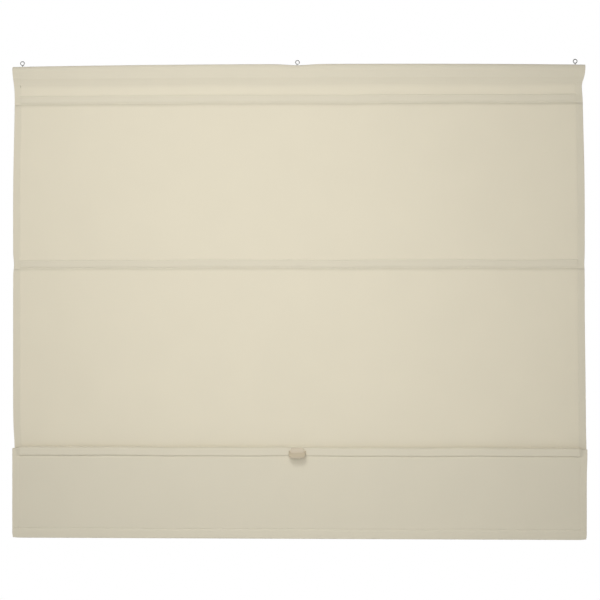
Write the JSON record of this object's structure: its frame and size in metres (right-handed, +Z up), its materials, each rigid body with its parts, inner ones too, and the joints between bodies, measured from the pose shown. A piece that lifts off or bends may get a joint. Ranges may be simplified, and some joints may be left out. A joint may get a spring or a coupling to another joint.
{
  "type": "roman blind",
  "caption": "Cordless flat roman blind in cream cloth, hung by screw eyes from a header batten, partly raised, with slats in sewn pockets, a bottom flap and a small pull handle.",
  "frame": {"origin": "centre of the middle screw eye's ring", "axes": "+X across the blind to the right as seen from the room, +Z up, -Y towards the room"},
  "size_m": [1.4, 0.0433, 1.1713],
  "materials": {
    "batten_wood": "matte",
    "eye_steel": "satin",
    "cloth": "matte",
    "pocket_tape": "matte",
    "cap_plastic": "matte",
    "bar_metal": "satin",
    "magnet": "satin",
    "handle_plastic": "satin",
    "screw_steel": "satin"
  },
  "bodies": {
    "header": {"header_batten": "batten_wood", "screw_eye_left": "eye_steel", "screw_eye_centre": "eye_steel", "screw_eye_right": "eye_steel", "cloth_top": "cloth", "pocket_strip_1": "pocket_tape", "slat_1": "bar_metal", "catch_magnets_1": "magnet", "slat_1_cap_left": "cap_plastic", "slat_1_cap_right": "cap_plastic"},
    "rod_2": {"cloth_upper": "cloth", "pocket_strip_2": "pocket_tape", "slat_2": "bar_metal", "catch_magnets_2": "magnet", "slat_2_cap_left": "cap_plastic", "slat_2_cap_right": "cap_plastic"},
    "rod_3": {"cloth_lower": "cloth", "pocket_strip_3": "pocket_tape", "slat_3": "bar_metal", "catch_magnets_3": "magnet", "slat_3_cap_left": "cap_plastic", "slat_3_cap_right": "cap_plastic"},
    "rod_4": {"cloth_fold": "cloth", "cloth_flap": "cloth", "pocket_strip_4": "pocket_tape", "slat_4": "bar_metal", "catch_magnets_4": "magnet", "slat_4_cap_left": "cap_plastic", "slat_4_cap_right": "cap_plastic", "pull_handle": "handle_plastic", "handle_screws": "screw_steel", "hem_bar": "bar_metal", "hem_bar_cap_left": "cap_plastic", "hem_bar_cap_right": "cap_plastic"}
  },
  "joints": [
    {"name": "slat_2_lift", "type": "slide", "parent": "header", "child": "rod_2", "axis": [0, -0.0248, 0.9997], "range_m": [0, 0.40312], "deforming": ["cloth_upper"]},
    {"name": "slat_3_lift", "type": "slide", "parent": "rod_2", "child": "rod_3", "axis": [0, -0.0219, 0.9998], "range_m": [0, 0.45761], "deforming": ["cloth_lower"]},
    {"name": "slat_4_lift", "type": "slide", "parent": "rod_3", "child": "rod_4", "axis": [0, -0.0225, 0.9997], "range_m": [-0.44351, 0], "deforming": ["cloth_fold"]}
  ]
}
